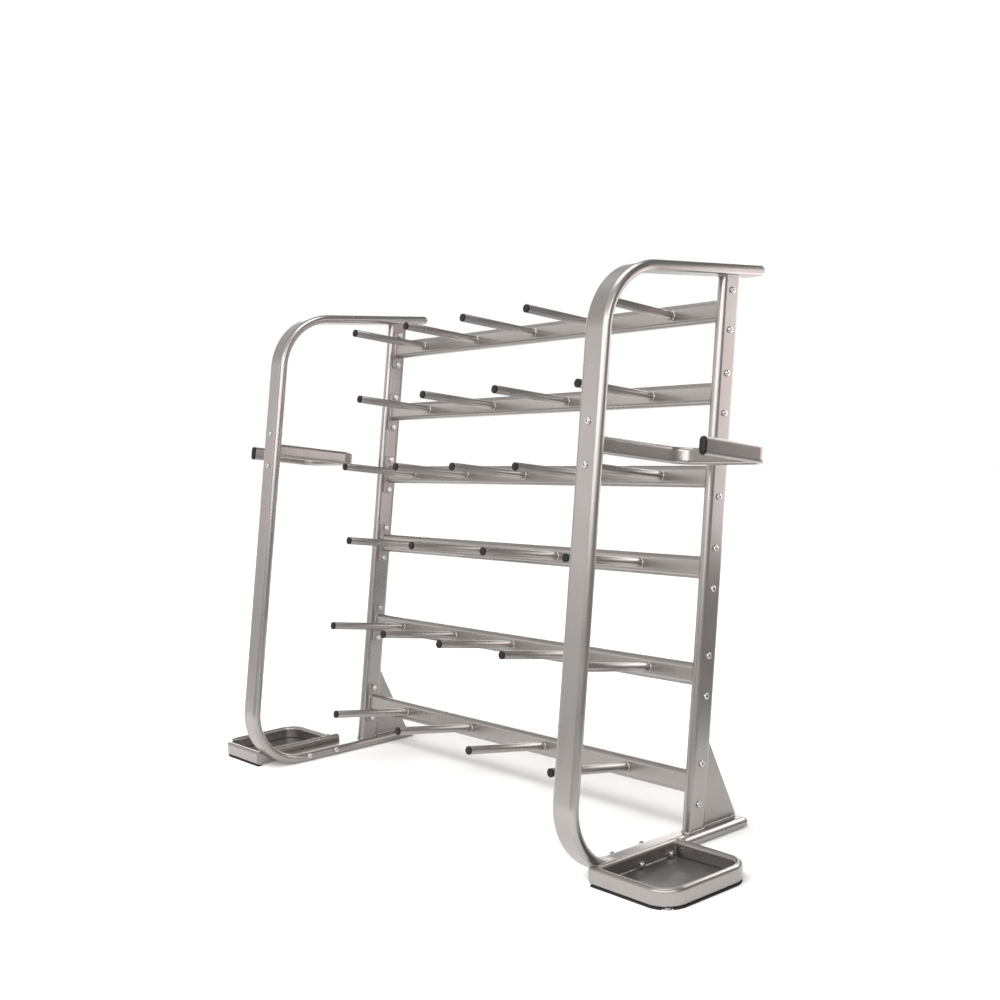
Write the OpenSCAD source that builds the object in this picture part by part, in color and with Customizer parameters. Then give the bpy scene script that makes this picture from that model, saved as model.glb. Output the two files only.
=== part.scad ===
// Studio rack for weight plates and bars.
// X runs along the crossbars, +Y to the rear, +Z up. The origin is on the floor under the middle of the rack.
// The uprights lean back. What sits on them is drawn in the leaning frame: X as before, Y square to the
// uprights, Z along them, with its zero at the lowest crossbar's centre on the rear uprights' centre line.

/* [Overall] */
// Height of the rack
rack_h = 1492; // [1440:1:1560]
// Distance from the rack's middle to the centre plane of each side frame
frame_x = 757; // [740:1:790]
// Backward lean of the uprights, in degrees
lean = 8.86321122; // [8.79827015, 8.86321122]
// Height of the lowest crossbar's centre above the floor
first_row_h = 148; // [140:1:165]

/* [Side frames] */
// Width of the side frame's flat-oval tube
side_tube_w = 78; // [72:1:84]
// Thickness of the flat-oval tube, shared by the rear uprights and the crossbars
tube_t = 28; // [25:1:30]
// Wall of the frame tubes
tube_wall = 2.5; // [2:0.5:3]
// Distance between the centre lines of the front and rear uprights, square to them
upright_gap = 460; // [450:1:480]
// Centre-line radius of the bottom bend
bottom_bend_r = 162; // [145:1:170]
// Centre-line radius of the top bend
top_bend_r = 184; // [165:1:195]
// Width of the rear uprights' flat-oval tube, front to back
upright_w = 70; // [64:1:74]
// How far the top run reaches behind the rear upright's centre line
top_overhang = 109; // [90:1:130]
// How far the bottom run reaches behind the rear upright's centre line
bottom_overhang = 183; // [165:1:200]

/* [Gussets] */
// Height of the gusset plate
gusset_h = 225; // [200:1:240]
// Length of the gusset plate along the bottom run
gusset_l = 130; // [110:1:135]
// Thickness of the gusset plate
gusset_t = 6; // [4:1:8]

/* [Crossbars] */
// Height of the crossbars' flat-oval tube
bar_h = 60; // [54:1:66]
// Wall of the crossbars
bar_wall = 2; // [1.5:0.5:3]
// Distance between the three lowest crossbars, along the uprights
lower_pitch = 280; // [270:1:284]
// Distance from the third to the fourth crossbar
middle_pitch = 240; // [230:1:244]
// Distance between the three highest crossbars
upper_pitch = 220; // [210:1:224]
// Width of the end plates
plate_w = 40; // [34:1:44]
// Height of the end plates
plate_h = 130; // [126:1:140]
// Thickness of the end plates
plate_t = 5; // [4:1:6]
// Corner radius of the end plates
plate_r = 10; // [6:1:14]
// Distance between the two bolts of an end plate
bolt_gap = 105; // [100:1:108]

/* [Pegs] */
// Diameter of the pegs
peg_d = 24; // [22:1:26]
// Wall of the pegs
peg_wall = 2; // [1.5:0.5:2.5]
// Length of a peg with its plug, from the crossbar's face
peg_l = 282; // [260:1:300]
// Distance between pegs in a row of five
narrow_pitch = 286; // [270:1:300]
// Distance between pegs in a row of four
wide_pitch = 344; // [330:1:370]
// Length of the plug's head at the peg's tip
plug_head = 6; // [4:1:8]
// Length of the plug's stem inside the peg
plug_stem = 16; // [10:1:24]

/* [Bar holders] */
// Height of the flat-oval tube of the bar holders and the tray rims
rim_h = 44; // [42:1:46]
// Thickness of that tube
rim_t = 20; // [18:1:22]
// Wall of that tube
rim_wall = 2; // [1.5:0.5:2.5]
// Height of the bar holders above the lowest crossbar, along the uprights
holder_up = 840; // [835:1:860]
// Distance between the centre lines of a holder's two arms
holder_w = 280; // [260:1:300]
// Distance from the rear upright's centre line forward to the holder's cross run
holder_rear = 137; // [125:1:150]
// Centre-line radius of the holder's bends
holder_bend_r = 50; // [42:1:60]
// Length of the outer arm, from the cross run's centre line to its open end
holder_arm = 236; // [210:1:260]
// Length of the plug's head on the outer arm
holder_plug = 8; // [6:1:10]

/* [Trays] */
// Width of a tray, from the side frame outwards
tray_w = 254; // [240:1:270]
// Length of a tray, front to back
tray_l = 300; // [285:1:310]
// Distance from the foremost point of the side frames back to the trays
tray_setback = 42; // [35:1:50]
// Outer radius of a tray's rounded corners
tray_corner_r = 65; // [55:1:75]
// How far the rail reaches behind the rim, without its end cap
rail_overhang = 18; // [8:1:22]
// Thickness of the rubber strips
rubber_t = 5; // [5:1:8]
// Thickness of the tray's floor plate
floor_t = 3; // [2:1:3]

/* [Bolts] */
// Diameter of every bolt
bolt_d = 10; // [8:1:10]
// Diameter of the domed bolt heads
head_d = 17.5; // [16:0.5:18]
// Height of the domed bolt heads
head_h = 5.5; // [5:0.5:6]
// Size of the nuts across their flats
nut_af = 16; // [15:1:16]
// Height of the nuts
nut_h = 8; // [7:1:9]

/* [Hidden] */
$fn = 64;

// Fits
hole_play = 1;       // bolt holes are this much wider than the bolts
thread_play = 0.1;   // nuts and plug stems clear their mates by this much across
bolt_proud = 3;      // bolts reach this far past their nuts

// Rows, from the lowest up: their place along the uprights and their pegs
row_up = [
  0, lower_pitch, 2 * lower_pitch, 2 * lower_pitch + middle_pitch,
  2 * lower_pitch + middle_pitch + upper_pitch, 2 * lower_pitch + middle_pitch + 2 * upper_pitch
];
row_pegs = [4, 5, 4, 5, 4, 5];

// The side frame's path in its own plane
bottom_z = tube_t / 2;
top_z = rack_h - tube_t / 2;
bottom_turn = 90 + lean;
top_turn = 90 - lean;
bottom_tangent = bottom_bend_r * tan(bottom_turn / 2);
top_tangent = top_bend_r * tan(top_turn / 2);
// where the front upright's centre line crosses the bottom and top runs, along the uprights
bottom_corner_up = (bottom_z - first_row_h - upright_gap * sin(lean)) / cos(lean);
top_corner_up = (top_z - first_row_h - upright_gap * sin(lean)) / cos(lean);
// the straight between the bends, to a hundredth of a millimetre
front_straight = round(100 * (top_corner_up - bottom_corner_up - top_tangent - bottom_tangent)) / 100;
// lengthwise place of a point on the front upright's centre line, before the origin is centred
function front_y(up) = up * sin(lean) - upright_gap * cos(lean);
bottom_bend_y = front_y(bottom_corner_up) + bottom_tangent;
top_bend_y = front_y(top_corner_up) + top_tangent;
bottom_end_y = (bottom_z - first_row_h) * tan(lean) + bottom_overhang;
top_end_y = (top_z - first_row_h) * tan(lean) + top_overhang;
foremost_y = bottom_bend_y - bottom_bend_r - tube_t / 2;
// shift that puts the origin midway between the foremost and rearmost points
centre_y = -(foremost_y + top_end_y) / 2;

// Side faces
plate_x = frame_x - tube_t / 2;
bar_end_x = plate_x - plate_t;
side_x = frame_x + side_tube_w / 2;

// Bar holder, in the leaning frame
holder_outer_x = frame_x + holder_w;
holder_plate_y = -upright_gap + tube_t / 2;
holder_bend_y = -holder_rear - holder_bend_r;
holder_open_y = -holder_rear - holder_arm;

// Trays
tray_front_y = foremost_y + tray_setback;
tray_rear_y = tray_front_y + tray_l;
tray_outer_x = side_x + tray_w;
rim_z = rubber_t + rim_h / 2;
rail_y0 = tray_front_y + rim_t;
rail_y1 = tray_rear_y + rail_overhang;
floor_z = 8;
strip_w = 16;
tray_bolt_z = 19.3;
tray_bolt_y = [bottom_bend_y + 22, bottom_bend_y + 127];
tray_bolt_x0 = frame_x - side_tube_w / 2;
glide_d = 22;
glide_flange_t = 3;

// ---- helpers ----

// Flat-oval outline, w along X and t along Y
module flat_oval(w, t) {
  square([w - t, t], center = true);
  for (s = [-1, 1])
    translate([s * (w - t) / 2, 0])
      circle(d = t);
}

module flat_oval_ring(w, t, wall) {
  difference() {
    flat_oval(w, t);
    flat_oval(w - 2 * wall, t - 2 * wall);
  }
}

// Box outline with rounded corners
module rounded_plate(w, h, r) {
  square([w - 2 * r, h], center = true);
  square([w, h - 2 * r], center = true);
  for (sx = [-1, 1], sy = [-1, 1])
    translate([sx * (w / 2 - r), sy * (h / 2 - r)])
      circle(r = r);
}

module leaning() {
  translate([0, centre_y, first_row_h])
    rotate([-lean, 0, 0])
      children();
}

module upright_world() {
  translate([0, centre_y, 0])
    children();
}

module left() {
  mirror([1, 0, 0])
    children();
}

// Half of a disc, on the +X side
module half_disc(d) {
  intersection() {
    circle(d = d);
    translate([0, -d])
      square([d, 2 * d]);
  }
}

// Rounded end of a flat-oval tube, along +Y, with its width along X
module bullnose(w, t) {
  rotate([90, 0, 90])
    linear_extrude(w - t, center = true)
      half_disc(t);
  for (s = [0, 1])
    mirror([s, 0, 0])
      translate([(w - t) / 2, 0, 0])
        rotate_extrude(angle = 90)
          half_disc(t);
}

// Domed bolt along +Z: its head stands below z = 0 and its shank reaches up to grip
module bolt(grip) {
  socket_af = 6;
  socket_depth = 3;
  dome_r = (head_d * head_d / 4 + head_h * head_h) / (2 * head_h);
  difference() {
    intersection() {
      translate([0, 0, dome_r - head_h])
        sphere(r = dome_r);
      translate([0, 0, -head_h])
        cylinder(d = head_d + 1, h = head_h);
    }
    translate([0, 0, -head_h - 1])
      cylinder(d = socket_af / cos(30), h = socket_depth + 1, $fn = 6);
  }
  cylinder(d = bolt_d, h = grip);
}

// Nut along +Z, standing on z = 0
module nut() {
  difference() {
    cylinder(d = nut_af / cos(30), h = nut_h, $fn = 6);
    translate([0, 0, -1])
      cylinder(d = bolt_d + thread_play, h = nut_h + 2);
  }
}

module bolt_hole(length) {
  cylinder(d = bolt_d + hole_play, h = length, center = true);
}

// ---- side frames ----

// Half turn of a flat-oval outline round the X axis, from straight down (up = -1) or up (up = 1) by the front
module half_turn(r, w, t, up) {
  rotate([180, -up * 90, 0])
    rotate_extrude(angle = 180)
      translate([r, 0])
        rotate(90)
          flat_oval(w, t);
}

// The C-shaped path swept by a flat-oval outline. Each bend is a half turn cut off where the front straight
// starts, square to it
module side_sweep(w, t) {
  big = 2 * top_bend_r + 2 * t;
  translate([frame_x, bottom_bend_y, bottom_z + bottom_bend_r]) {
    rotate([-lean, 0, 0])
      translate([0, -bottom_bend_r, 0])
        linear_extrude(front_straight)
          flat_oval(w, t);
    difference() {
      half_turn(bottom_bend_r, w, t, -1);
      rotate([-lean, 0, 0])
        translate([-w, -big, 0])
          cube([2 * w, big + 2 * t, big]);
    }
    translate([0, 0, -bottom_bend_r])
      rotate([-90, 0, 0])
        linear_extrude(bottom_end_y - bottom_bend_y - tube_t / 2)
          flat_oval(w, t);
    rotate([-lean, 0, 0])
      translate([0, top_bend_r - bottom_bend_r, front_straight]) {
        difference() {
          rotate([lean, 0, 0])
            half_turn(top_bend_r, w, t, 1);
          translate([-w, -big, -big])
            cube([2 * w, big + 2 * t, big]);
        }
        rotate([lean, 0, 0])
          translate([0, 0, top_bend_r])
            rotate([-90, 0, 0])
              linear_extrude(top_end_y - top_bend_y - tube_t / 2)
                flat_oval(w, t);
      }
  }
}

module side_frame() {
  color("silver")
    difference() {
      upright_world()
        side_sweep(side_tube_w, tube_t);
      upright_world()
        side_sweep(side_tube_w - 2 * tube_wall, tube_t - 2 * tube_wall);
      leaning()
        for (s = [-1, 1])
          translate([frame_x, -upright_gap, holder_up + s * bolt_gap / 2])
            rotate([90, 0, 0])
              bolt_hole(2 * tube_t);
      upright_world()
        for (y = tray_bolt_y)
          translate([frame_x, y, tray_bolt_z])
            rotate([0, 90, 0])
              bolt_hole(side_tube_w + 10);
    }
}

module frame_end_caps() {
  color("silver")
    upright_world() {
      translate([frame_x, bottom_end_y - tube_t / 2, bottom_z])
        bullnose(side_tube_w, tube_t);
      translate([frame_x, top_end_y - tube_t / 2, top_z])
        bullnose(side_tube_w, tube_t);
    }
}

module rear_upright() {
  color("silver")
    difference() {
      intersection() {
        leaning()
          translate([frame_x, 0, -first_row_h - 60])
            linear_extrude(rack_h + 200)
              rotate(90)
                flat_oval_ring(upright_w, tube_t, tube_wall);
        translate([frame_x - tube_t, -rack_h / 2, tube_t])
          cube([2 * tube_t, rack_h, rack_h - 2 * tube_t]);
      }
      leaning()
        for (up = row_up, s = [-1, 1])
          translate([frame_x, 0, up + s * bolt_gap / 2])
            rotate([0, 90, 0])
              bolt_hole(2 * tube_t);
    }
}

module gusset() {
  foot_rear = 6;
  y_at = function(z) (z - first_row_h) * tan(lean) + upright_w / 2 / cos(lean);
  low = tube_t;
  high = tube_t + gusset_h;
  color("silver")
    upright_world()
      translate([frame_x - gusset_t / 2, 0, 0])
        rotate([90, 0, 90])
          linear_extrude(gusset_t)
            polygon([
              [y_at(low), low],
              [y_at(low) + gusset_l, low],
              [y_at(low) + gusset_l, low + foot_rear],
              [y_at(high), high]
            ]);
}

// ---- crossbars and pegs ----

module crossbar(row) {
  color("silver")
    leaning()
      translate([-bar_end_x, 0, row_up[row - 1]])
        rotate([0, 90, 0])
          linear_extrude(2 * bar_end_x)
            flat_oval_ring(bar_h, tube_t, bar_wall);
}

module end_plates() {
  color("silver")
    leaning()
      for (up = row_up)
        translate([bar_end_x, 0, up])
          rotate([90, 0, 90])
            linear_extrude(plate_t)
              plate_outline();
}

module plate_outline() {
  difference() {
    rounded_plate(plate_w, plate_h, plate_r);
    for (s = [-1, 1])
      translate([0, s * bolt_gap / 2])
        circle(d = bolt_d + hole_play);
  }
}

module upright_bolts() {
  color("gainsboro")
    leaning()
      for (up = row_up, s = [-1, 1])
        translate([frame_x + tube_t / 2, 0, up + s * bolt_gap / 2])
          rotate([0, -90, 0])
            bolt(tube_t + plate_t + nut_h + bolt_proud);
}

module upright_nuts() {
  color("gainsboro")
    leaning()
      for (up = row_up, s = [-1, 1])
        translate([bar_end_x, 0, up + s * bolt_gap / 2])
          rotate([0, -90, 0])
            nut();
}

// Runs its children at each peg of a row, with Z out along the peg from the crossbar's face
module at_pegs(row) {
  count = row_pegs[row - 1];
  pitch = count == 5 ? narrow_pitch : wide_pitch;
  leaning()
    for (i = [0 : count - 1])
      translate([(i - (count - 1) / 2) * pitch, -tube_t / 2, row_up[row - 1]])
        rotate([90, 0, 0])
          children();
}

module pegs(row) {
  color("silver")
    at_pegs(row)
      difference() {
        cylinder(d = peg_d, h = peg_l - plug_head);
        translate([0, 0, 2])
          cylinder(d = peg_d - 2 * peg_wall, h = peg_l);
      }
}

module peg_plugs(row) {
  color("black")
    at_pegs(row)
      translate([0, 0, peg_l - plug_head]) {
        cylinder(d = peg_d, h = plug_head);
        translate([0, 0, -plug_stem])
          cylinder(d = peg_d - 2 * peg_wall - thread_play, h = plug_stem + 1);
      }
}

// ---- bar holders ----

module holder_sweep(w, t) {
  arm = -holder_bend_y + holder_plate_y + plate_t;
  translate([frame_x, holder_bend_y, holder_up])
    rotate([90, 0, 0])
      linear_extrude(-arm)
        rotate(90)
          flat_oval(w, t);
  translate([frame_x + holder_bend_r, holder_bend_y, holder_up])
    rotate([0, 0, 90])
      rotate_extrude(angle = 90)
        translate([holder_bend_r, 0])
          rotate(90)
            flat_oval(w, t);
  translate([frame_x + holder_bend_r, -holder_rear, holder_up])
    rotate([0, 90, 0])
      linear_extrude(holder_w - 2 * holder_bend_r)
        flat_oval(w, t);
  translate([holder_outer_x - holder_bend_r, holder_bend_y, holder_up])
    rotate_extrude(angle = 90)
      translate([holder_bend_r, 0])
        rotate(90)
          flat_oval(w, t);
  translate([holder_outer_x, holder_bend_y, holder_up])
    rotate([90, 0, 0])
      linear_extrude(holder_bend_y - holder_open_y)
        rotate(90)
          flat_oval(w, t);
}

module bar_holder() {
  color("silver")
    leaning()
      difference() {
        holder_sweep(rim_h, rim_t);
        holder_sweep(rim_h - 2 * rim_wall, rim_t - 2 * rim_wall);
      }
}

module holder_plate() {
  color("silver")
    leaning()
      translate([frame_x, holder_plate_y + plate_t, holder_up])
        rotate([90, 0, 0])
          linear_extrude(plate_t)
            plate_outline();
}

module holder_plug_piece() {
  inner_w = rim_h - 2 * rim_wall - thread_play;
  inner_t = rim_t - 2 * rim_wall - thread_play;
  color("black")
    leaning()
      translate([holder_outer_x, holder_open_y, holder_up])
        rotate([90, 0, 0]) {
          linear_extrude(holder_plug)
            rotate(90)
              flat_oval(rim_h, rim_t);
          translate([0, 0, -plug_stem])
            linear_extrude(plug_stem + 1)
              rotate(90)
                flat_oval(inner_w, inner_t);
        }
}

module holder_bolts() {
  color("gainsboro")
    leaning()
      for (s = [-1, 1])
        translate([frame_x, -upright_gap - tube_t / 2, holder_up + s * bolt_gap / 2])
          rotate([-90, 0, 0])
            bolt(tube_t + plate_t + nut_h + bolt_proud);
}

module holder_nuts() {
  color("gainsboro")
    leaning()
      for (s = [-1, 1])
        translate([frame_x, holder_plate_y + plate_t, holder_up + s * bolt_gap / 2])
          rotate([-90, 0, 0])
            nut();
}

// ---- trays ----

// The U-shaped path of the rim, from the front wall's inner end round to the rear wall's inner end
module rim_sweep(w, t) {
  r = tray_corner_r - rim_t / 2;
  corner_x = tray_outer_x - tray_corner_r;
  translate([side_x, tray_front_y + rim_t / 2, rim_z])
    rotate([0, 90, 0])
      linear_extrude(corner_x - side_x)
        flat_oval(w, t);
  translate([corner_x, tray_front_y + tray_corner_r, rim_z])
    rotate([0, 0, -90])
      rotate_extrude(angle = 90)
        translate([r, 0])
          rotate(90)
            flat_oval(w, t);
  translate([tray_outer_x - rim_t / 2, tray_front_y + tray_corner_r, rim_z])
    rotate([-90, 0, 0])
      linear_extrude(tray_l - 2 * tray_corner_r)
        rotate(90)
          flat_oval(w, t);
  translate([corner_x, tray_rear_y - tray_corner_r, rim_z])
    rotate_extrude(angle = 90)
      translate([r, 0])
        rotate(90)
          flat_oval(w, t);
  translate([side_x + rim_t, tray_rear_y - rim_t / 2, rim_z])
    rotate([0, 90, 0])
      linear_extrude(corner_x - side_x - rim_t)
        flat_oval(w, t);
}

module tray_rim() {
  color("silver")
    upright_world() {
      difference() {
        rim_sweep(rim_h, rim_t);
        rim_sweep(rim_h - 2 * rim_wall, rim_t - 2 * rim_wall);
      }
      // the front wall's inner end is closed by a welded plate
      translate([side_x, tray_front_y + rim_t / 2, rim_z])
        rotate([0, 90, 0])
          linear_extrude(rim_wall)
            flat_oval(rim_h, rim_t);
    }
}

module tray_rail() {
  color("silver")
    upright_world()
      difference() {
        translate([side_x + rim_t / 2, rail_y0, rim_z])
          rotate([-90, 0, 0])
            linear_extrude(rail_y1 - rail_y0)
              rotate(90)
                flat_oval_ring(rim_h, rim_t, rim_wall);
        for (y = tray_bolt_y)
          translate([side_x, y, tray_bolt_z])
            rotate([0, 90, 0])
              bolt_hole(4 * rim_t);
      }
}

module rail_cap() {
  color("silver")
    upright_world()
      translate([side_x + rim_t / 2, rail_y1, rim_z])
        rotate([0, 90, 0])
          bullnose(rim_h, rim_t);
}

module tray_floor() {
  inner_r = tray_corner_r - rim_t;
  x0 = side_x + rim_t;
  x1 = tray_outer_x - rim_t;
  y0 = tray_front_y + rim_t;
  y1 = tray_rear_y - rim_t;
  color("darkgray")
    upright_world()
      translate([0, 0, floor_z])
        linear_extrude(floor_t) {
          translate([x0, y0])
            square([x1 - x0 - inner_r, y1 - y0]);
          translate([x0, y0 + inner_r])
            square([x1 - x0, y1 - y0 - 2 * inner_r]);
          for (y = [y0 + inner_r, y1 - inner_r])
            translate([x1 - inner_r, y])
              circle(r = inner_r);
        }
}

module strip_corner(r) {
  rotate_extrude(angle = 90)
    translate([r - strip_w / 2, 0])
      square([strip_w, rubber_t]);
}

// Strips under the rim, with a gap where the glide is
module tray_rubber() {
  inset = (rim_t - strip_w) / 2;
  corner_x = tray_outer_x - tray_corner_r;
  side_l = tray_l - 2 * tray_corner_r;
  r = tray_corner_r - rim_t / 2;
  color("black")
    upright_world()
      difference() {
        union() {
          translate([side_x + inset, tray_front_y + inset, 0])
            cube([corner_x - side_x - inset, strip_w, rubber_t]);
          translate([corner_x, tray_front_y + tray_corner_r, 0])
            rotate([0, 0, -90])
              strip_corner(r);
          translate([tray_outer_x - rim_t + inset, tray_front_y + tray_corner_r, 0])
            cube([strip_w, side_l, rubber_t]);
          translate([corner_x, tray_rear_y - tray_corner_r, 0])
            strip_corner(r);
          translate([side_x + rim_t, tray_rear_y - rim_t + inset, 0])
            cube([corner_x - side_x - rim_t, strip_w, rubber_t]);
        }
        at_glide()
          translate([0, 0, -1])
            cylinder(d = glide_d + 2, h = rubber_t + 2);
      }
}

// Steel glide under the rim's outer front corner
module tray_glide() {
  color("gainsboro")
    upright_world()
      at_glide() {
        cylinder(d = glide_d, h = glide_flange_t);
        cylinder(d = rim_t - 4, h = rubber_t);
      }
}

module at_glide() {
  off = (tray_corner_r - rim_t / 2) * sqrt(0.5);
  translate([tray_outer_x - tray_corner_r + off, tray_front_y + tray_corner_r - off, 0])
    children();
}

module tray_bolts() {
  color("gainsboro")
    upright_world()
      for (y = tray_bolt_y)
        translate([tray_bolt_x0, y, tray_bolt_z])
          rotate([0, 90, 0])
            bolt(side_tube_w + rim_t + nut_h + bolt_proud);
}

module tray_nuts() {
  color("gainsboro")
    upright_world()
      for (y = tray_bolt_y)
        translate([side_x + rim_t, y, tray_bolt_z])
          rotate([0, 90, 0])
            rotate(30)
              nut();
}

side_frame();  // right_side_frame
left() side_frame();  // left_side_frame
frame_end_caps();  // right_frame_end_caps
left() frame_end_caps();  // left_frame_end_caps
rear_upright();  // right_rear_upright
left() rear_upright();  // left_rear_upright
gusset();  // right_gusset
left() gusset();  // left_gusset
crossbar(1);  // crossbar_1
crossbar(2);  // crossbar_2
crossbar(3);  // crossbar_3
crossbar(4);  // crossbar_4
crossbar(5);  // crossbar_5
crossbar(6);  // crossbar_6
end_plates();  // right_end_plates
left() end_plates();  // left_end_plates
upright_bolts();  // right_upright_bolts
left() upright_bolts();  // left_upright_bolts
upright_nuts();  // right_upright_nuts
left() upright_nuts();  // left_upright_nuts
pegs(1);  // pegs_1
pegs(2);  // pegs_2
pegs(3);  // pegs_3
pegs(4);  // pegs_4
pegs(5);  // pegs_5
pegs(6);  // pegs_6
peg_plugs(1);  // peg_plugs_1
peg_plugs(2);  // peg_plugs_2
peg_plugs(3);  // peg_plugs_3
peg_plugs(4);  // peg_plugs_4
peg_plugs(5);  // peg_plugs_5
peg_plugs(6);  // peg_plugs_6
bar_holder();  // right_bar_holder
left() bar_holder();  // left_bar_holder
holder_plate();  // right_holder_plate
left() holder_plate();  // left_holder_plate
holder_plug_piece();  // right_holder_plug
left() holder_plug_piece();  // left_holder_plug
holder_bolts();  // right_holder_bolts
left() holder_bolts();  // left_holder_bolts
holder_nuts();  // right_holder_nuts
left() holder_nuts();  // left_holder_nuts
tray_rim();  // right_tray_rim
left() tray_rim();  // left_tray_rim
tray_rail();  // right_tray_rail
left() tray_rail();  // left_tray_rail
rail_cap();  // right_rail_cap
left() rail_cap();  // left_rail_cap
tray_floor();  // right_tray_floor
left() tray_floor();  // left_tray_floor
tray_rubber();  // right_tray_rubber
left() tray_rubber();  // left_tray_rubber
tray_glide();  // right_tray_glide
left() tray_glide();  // left_tray_glide
tray_bolts();  // right_tray_bolts
left() tray_bolts();  // left_tray_bolts
tray_nuts();  // right_tray_nuts
left() tray_nuts();  // left_tray_nuts
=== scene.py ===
"""Studio rack for weight plates and bars: the visual model, in metres, in the row frame."""

import math
import random

import bpy
from mathutils import Matrix, Vector


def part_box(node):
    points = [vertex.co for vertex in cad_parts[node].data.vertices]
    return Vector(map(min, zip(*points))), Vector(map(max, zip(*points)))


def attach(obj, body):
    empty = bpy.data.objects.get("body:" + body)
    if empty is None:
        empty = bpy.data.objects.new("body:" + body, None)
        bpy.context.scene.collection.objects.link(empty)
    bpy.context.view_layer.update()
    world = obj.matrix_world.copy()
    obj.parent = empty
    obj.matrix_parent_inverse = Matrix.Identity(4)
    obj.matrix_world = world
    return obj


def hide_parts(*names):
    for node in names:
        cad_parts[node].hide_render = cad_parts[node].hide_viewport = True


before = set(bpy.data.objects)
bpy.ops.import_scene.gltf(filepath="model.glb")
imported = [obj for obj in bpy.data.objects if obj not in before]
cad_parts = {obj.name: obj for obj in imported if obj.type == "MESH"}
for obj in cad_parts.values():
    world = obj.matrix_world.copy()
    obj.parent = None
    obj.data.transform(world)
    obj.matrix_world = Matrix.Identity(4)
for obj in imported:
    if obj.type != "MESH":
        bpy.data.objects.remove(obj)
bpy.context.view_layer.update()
random.seed(20)

# ---------------------------------------------------------------- sizes, in metres

LEAN = math.radians(8.86321122)      # of the uprights, backwards
SIN, COS = math.sin(LEAN), math.cos(LEAN)
FRAME_X = 0.757          # side frame's centre plane
ROW_H = 0.148            # lowest crossbar's centre above the floor
RACK_H = 1.492
SIDE_W, TUBE_T = 0.078, 0.028
GAP = 0.460              # front to rear upright, square to them
BOTTOM_R, TOP_R = 0.162, 0.184
UPRIGHT_W = 0.070
ROW_UP = (0.0, 0.280, 0.560, 0.800, 1.020, 1.240)
ROW_PEGS = (4, 5, 4, 5, 4, 5)
PITCH = {4: 0.344, 5: 0.286}
BAR_H, BAR_HALF = 0.060, 0.738
PLATE_W, PLATE_H, PLATE_T, PLATE_R = 0.040, 0.130, 0.005, 0.010
BOLT_GAP = 0.105
PEG_R, PEG_L, PLUG_HEAD = 0.012, 0.282, 0.006
RIM_H, RIM_T = 0.044, 0.020
HOLDER_UP, HOLDER_W, HOLDER_REAR = 0.840, 0.280, 0.137
HOLDER_R, HOLDER_ARM, HOLDER_PLUG = 0.050, 0.236, 0.008
RUBBER_T, STRIP_W, RIM_Z = 0.005, 0.016, 0.027
BOLT_R, HEAD_R, HEAD_H, NUT_AF, NUT_H, PROUD = 0.005, 0.00875, 0.0055, 0.016, 0.008, 0.003
WELD_PEG, WELD_FOOT, WELD_HEAD, WELD_TUBE = 0.0023, 0.0026, 0.0022, 0.0019    # bead radii
WELD_GUSSET, WELD_RIM, WELD_FLOOR = 0.0024, 0.0016, 0.0014

X, Y, Z = Vector((1, 0, 0)), Vector((0, 1, 0)), Vector((0, 0, 1))
FWD = Vector((0, -COS, SIN))      # square to the uprights, towards the front
ALONG = Vector((0, SIN, COS))     # up along the uprights

FRONT_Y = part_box("right_side_frame")[0].y
REAR_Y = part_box("right_frame_end_caps")[1].y
tray_lo, tray_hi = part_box("right_tray_rim")
rail_lo, rail_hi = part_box("right_tray_rail")
floor_lo, floor_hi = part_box("right_tray_floor")
gusset_lo, gusset_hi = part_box("right_gusset")
bar_lo, bar_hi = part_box("crossbar_1")
Y0 = (bar_lo.y + bar_hi.y) / 2    # rear upright's centre plane at the lowest crossbar
SIDE_X = FRAME_X + SIDE_W / 2


def lean_pt(x, d, up):
    """A point of the leaning frame: d forward of the rear uprights' centre plane, up along them."""
    return Vector((x, Y0, ROW_H)) + FWD * d + ALONG * up


# ---------------------------------------------------------------- mesh helpers

class Shape:
    def __init__(self):
        self.v, self.f = [], []

    def add(self, other):
        n = len(self.v)
        self.v += other.v
        self.f += [tuple(i + n for i in f) for f in other.f]
        return self

    def mirrored(self):
        s = Shape()
        s.v = [Vector((-p.x, p.y, p.z)) for p in self.v]
        s.f = [tuple(reversed(f)) for f in self.f]
        return s


def loft(rings, closed=False):
    """Skin over rings of equal point counts, capped at both ends; closed joins the last ring to the first."""
    s = Shape()
    n = len(rings[0])
    for r in rings:
        s.v += [Vector(p) for p in r]
    count = len(rings)
    for i in range(count if closed else count - 1):
        a, b = i * n, ((i + 1) % count) * n
        for k in range(n):
            m = (k + 1) % n
            s.f.append((a + k, a + m, b + m, b + k))
    if not closed:
        s.f.append(tuple(reversed(range(n))))
        s.f.append(tuple((count - 1) * n + k for k in range(n)))
    return s


def oval(w, t, n=14, lip=0.0007, k=1.0):
    """Flat-oval outline, w along u and t along v, with support points beside the tangent points.

    Its rounds have k times their radius, about the same centres.
    """
    r, c = t / 2, (w - t) / 2
    pts = []
    for side in (0, 1):
        sx = 1 if side == 0 else -1
        a0 = -math.pi / 2 + side * math.pi
        pts += [(sx * c + r * k * math.cos(a0 + math.pi * i / n), r * k * math.sin(a0 + math.pi * i / n))
                for i in range(n + 1)]
        if c > 2 * lip:
            pts += [(sx * (c - lip), sx * r * k), (-sx * (c - lip), sx * r * k)]
    return pts


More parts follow.
